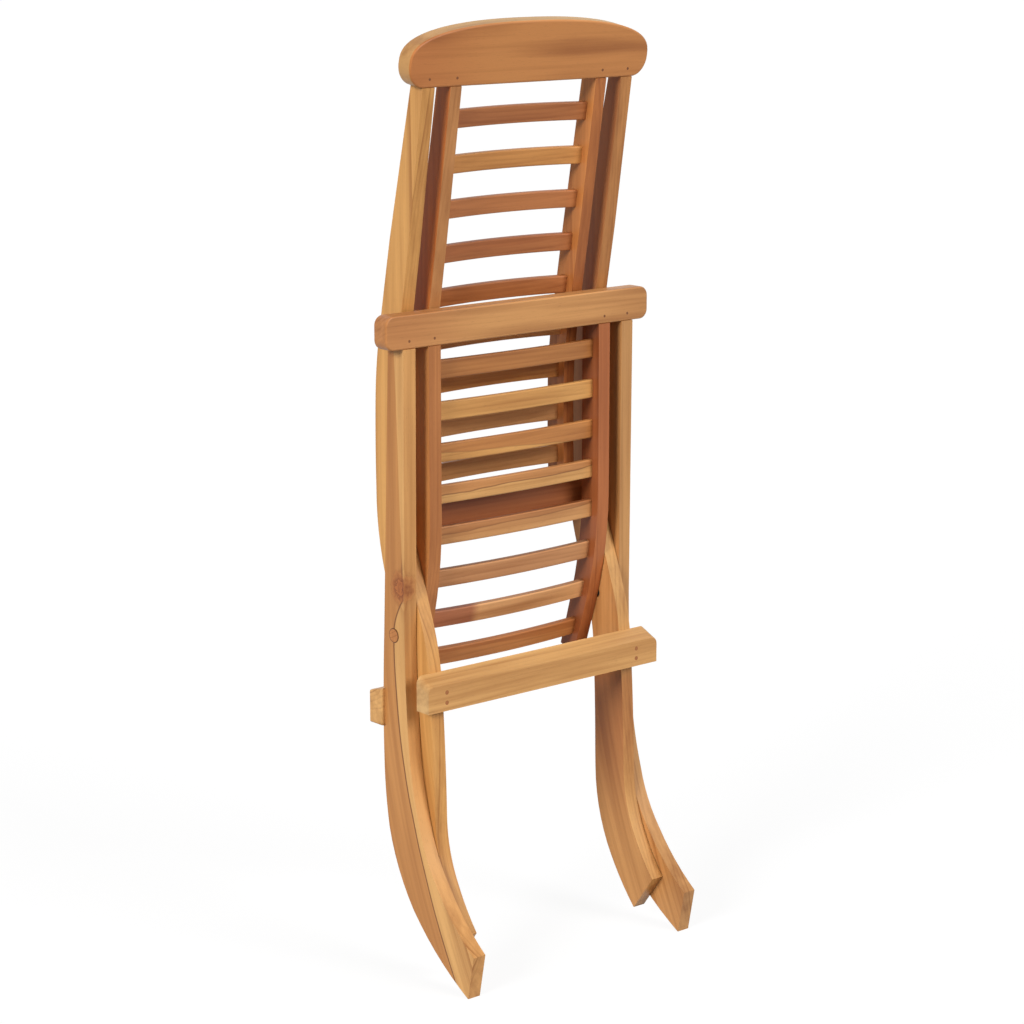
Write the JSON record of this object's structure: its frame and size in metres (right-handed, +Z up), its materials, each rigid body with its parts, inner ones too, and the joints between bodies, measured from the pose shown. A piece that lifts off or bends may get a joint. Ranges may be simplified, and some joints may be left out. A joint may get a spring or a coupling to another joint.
{
  "type": "folding garden chair",
  "caption": "High-backed slatted wooden garden chair that folds flat: a back frame and a seat frame cross on two side pivots and nest in each other when folded.",
  "frame": {"origin": "on the floor under the middle of the folded chair's box", "axes": "+X across the chair to the right of someone who faces its front, -Y the side that faces forward, +Z up"},
  "size_m": [0.49, 0.2416, 1.3563],
  "materials": {
    "leg_wood": "oiled hardwood, golden brown, satin",
    "rail_wood": "oiled hardwood, honey brown, satin",
    "slat_wood": "oiled hardwood, reddish brown, satin",
    "pin_wood": "end grain of small pegs, dark, satin",
    "zinc_steel": "dull zinc plate"
  },
  "bodies": {
    "back_frame": {"crest_rail": "rail_wood", "back_leg_left": "leg_wood", "back_leg_right": "leg_wood", "back_stile_left": "leg_wood", "back_stile_right": "leg_wood", "back_slat_1": "slat_wood", "back_slat_2": "slat_wood", "back_slat_3": "slat_wood", "back_slat_4": "slat_wood", "back_slat_5": "slat_wood", "back_slat_6": "slat_wood", "back_slat_7": "slat_wood", "back_slat_8": "slat_wood", "back_slat_9": "slat_wood", "back_bottom_rail": "rail_wood", "back_rail_dowels": "pin_wood", "front_stretcher": "rail_wood", "crest_pins": "pin_wood", "front_stretcher_screws": "zinc_steel"},
    "seat_frame": {"seat_front_rail": "rail_wood", "seat_leg_left": "leg_wood", "seat_leg_right": "leg_wood", "seat_stile_left": "leg_wood", "seat_stile_right": "leg_wood", "seat_slat_1": "slat_wood", "seat_slat_2": "slat_wood", "seat_slat_3": "slat_wood", "seat_slat_4": "slat_wood", "seat_slat_5": "slat_wood", "seat_slat_6": "slat_wood", "seat_slat_7": "slat_wood", "seat_slat_8": "slat_wood", "rear_stretcher": "rail_wood", "rail_pins": "pin_wood", "rear_stretcher_screws": "zinc_steel", "pivot_bolts": "zinc_steel", "pivot_plugs": "pin_wood", "pivot_spacer_washers": "zinc_steel", "pivot_nut_washers": "zinc_steel", "pivot_nuts": "zinc_steel"}
  },
  "joints": [
    {"name": "fold_hinge", "type": "hinge", "parent": "back_frame", "child": "seat_frame", "pos_m": [0, 0.05371, 0.49776], "axis": [1, 0, 0], "range_deg": [0, 114]}
  ]
}
